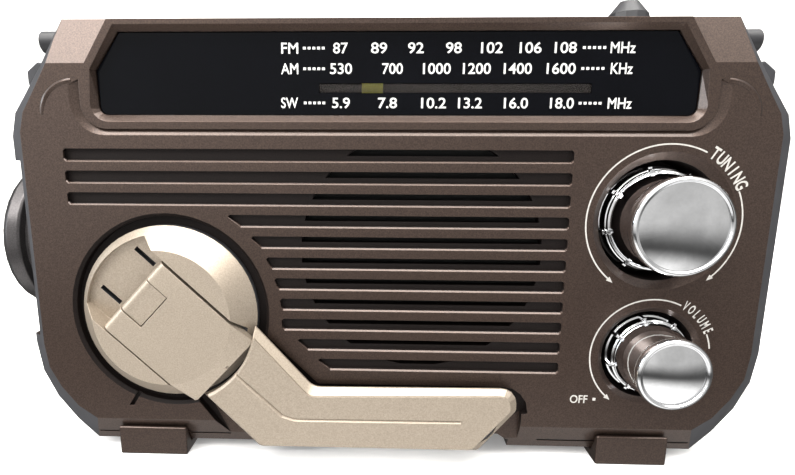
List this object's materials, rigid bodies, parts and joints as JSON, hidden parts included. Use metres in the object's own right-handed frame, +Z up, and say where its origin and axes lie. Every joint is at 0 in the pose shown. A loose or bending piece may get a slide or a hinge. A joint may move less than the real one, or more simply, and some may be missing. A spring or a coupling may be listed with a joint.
{
  "type": "crank radio",
  "caption": "Portable crank radio with a sloped dial window, slotted speaker grille, mirror knobs, a folding crank arm, a side torch, a folding carry handle and a telescopic aerial.",
  "frame": {"origin": "centre of the overall box in plan, at the height of the feet, with the handle folded back and the crank stowed", "axes": "+Z up, +X to the right as seen from the front, +Y from the front panel towards the back"},
  "size_m": [0.231, 0.0936, 0.1382],
  "materials": {
    "bronze": "satin metallic bronze paint on ABS with fine speckle",
    "champagne": "satin champagne metallic paint on ABS",
    "graphite": "fine matt dark grey",
    "gloss_black": "gloss black printed window",
    "chrome": "mirror",
    "clear": "clear",
    "amber": "satin yellow green",
    "rubber": "matt",
    "paper": "matt paper cone",
    "steel": "zinc plated",
    "brass": "turned",
    "board": "satin solder mask",
    "white_plastic": "satin",
    "blue_wrap": "shrink wrap",
    "silver": "satin silver",
    "solar": "gloss dark blue cells",
    "black_plastic": "satin black"
  },
  "bodies": {
    "case": {"front_shell": "bronze", "middle_band": "graphite", "rear_shell": "graphite", "solar_panel": "solar", "foot_left": "bronze", "foot_right": "bronze", "dial_window": "gloss_black", "dial_slot_lens": "clear", "dial_backing": "graphite", "tuning_capacitor": "white_plastic", "volume_control": "steel", "band_switch": "white_plastic", "crank_bearing": "brass", "dynamo": "steel", "gear_plate": "steel", "speaker_frame": "steel", "speaker_cone": "paper", "speaker_magnet": "steel", "circuit_board": "board", "battery_box": "black_plastic", "cell_1": "blue_wrap", "cell_2": "blue_wrap", "rechargeable_pack": "blue_wrap", "torch_ring": "silver", "torch_reflector": "chrome", "torch_lens": "clear", "torch_lamp": "white_plastic", "handle_pin_left": "steel", "handle_pin_right": "steel", "shoulder_bumper_right": "graphite", "shoulder_bumper_left": "graphite", "case_screw_1": "steel", "case_screw_2": "steel", "case_screw_3": "steel", "case_screw_4": "steel"},
    "crank": {"crank_hub": "champagne", "crank_shaft": "steel", "crank_gear": "white_plastic"},
    "arm": {"crank_arm": "champagne", "crank_hinge_pin": "steel"},
    "grip": {"crank_grip": "black_plastic"},
    "idler": {"idler_gear": "white_plastic"},
    "pinion": {"dynamo_pinion": "brass"},
    "tuning": {"tuning_knob": "chrome"},
    "pointer": {"dial_pointer": "amber"},
    "volume": {"volume_knob": "chrome"},
    "selector": {"selector_knob": "black_plastic"},
    "handle": {"handle": "black_plastic"},
    "hatch": {"battery_hatch": "graphite"},
    "switch": {"torch_switch": "black_plastic"},
    "aerial": {"aerial_swivel": "steel", "aerial_outer": "chrome"},
    "aerial_mid": {"aerial_middle": "chrome"},
    "aerial_tip": {"aerial_inner": "chrome"}
  },
  "joints": [
    {"name": "crank_turn", "type": "hinge", "parent": "case", "child": "crank", "pos_m": [-0.0611, -0.0322, 0.0466], "axis": [0, 1, 0], "continuous": true},
    {"name": "crank_fold", "type": "hinge", "parent": "crank", "child": "arm", "pos_m": [-0.07653, -0.0369, 0.04332], "axis": [-0.6858, 0, -0.7278], "range_deg": [0, 180]},
    {"name": "grip_turn", "type": "hinge", "parent": "arm", "child": "grip", "pos_m": [0.03, -0.0352, 0.0148], "axis": [0, 1, 0], "continuous": true},
    {"name": "idler_turn", "type": "hinge", "parent": "case", "child": "idler", "pos_m": [-0.0467, -0.0172, 0.07154], "axis": [0, 1, 0], "continuous": true},
    {"name": "dynamo_turn", "type": "hinge", "parent": "case", "child": "pinion", "pos_m": [-0.05797, -0.0122, 0.09273], "axis": [0, 1, 0], "continuous": true},
    {"name": "tuning_turn", "type": "hinge", "parent": "case", "child": "tuning", "pos_m": [0.0807, -0.0322, 0.0748], "axis": [0, 1, 0], "range_deg": [-92.5, 447]},
    {"name": "pointer_slide", "type": "slide", "parent": "case", "child": "pointer", "axis": [1, 0, 0], "range_m": [-0.0119, 0.0571]},
    {"name": "volume_turn", "type": "hinge", "parent": "case", "child": "volume", "pos_m": [0.0807, -0.0322, 0.0351], "axis": [0, 1, 0], "range_deg": [0, 300]},
    {"name": "band_turn", "type": "hinge", "parent": "case", "child": "selector", "pos_m": [0.0746, -0.0122, 0.13], "axis": [0, 0, 1], "range_deg": [-90, 0]},
    {"name": "handle_lift", "type": "hinge", "parent": "case", "child": "handle", "pos_m": [0.0045, -0.0152, 0.1264], "axis": [1, 0, 0], "range_deg": [0, 90]},
    {"name": "hatch_open", "type": "hinge", "parent": "case", "child": "hatch", "pos_m": [0.0045, 0.0263, 0.0177], "axis": [-1, 0, 0], "range_deg": [0, 95]},
    {"name": "torch_switch_slide", "type": "slide", "parent": "case", "child": "switch", "axis": [0, 0, 1], "range_m": [0, 0.003]},
    {"name": "aerial_swing", "type": "hinge", "parent": "case", "child": "aerial", "pos_m": [0.0965, 0.0322, 0.098], "axis": [0, 1, 0], "range_deg": [0, 90]},
    {"name": "aerial_pull_middle", "type": "slide", "parent": "aerial", "child": "aerial_mid", "axis": [-1, 0, 0], "range_m": [0, 0.13]},
    {"name": "aerial_pull_tip", "type": "slide", "parent": "aerial_mid", "child": "aerial_tip", "axis": [-1, 0, 0], "range_m": [0, 0.13]}
  ],
  "couplings": [
    {"joint": "idler_turn", "follows": "crank_turn", "ratio": -3},
    {"joint": "dynamo_turn", "follows": "crank_turn", "ratio": 9},
    {"joint": "pointer_slide", "follows": "tuning_turn", "m_per_rad": 0.00731}
  ]
}
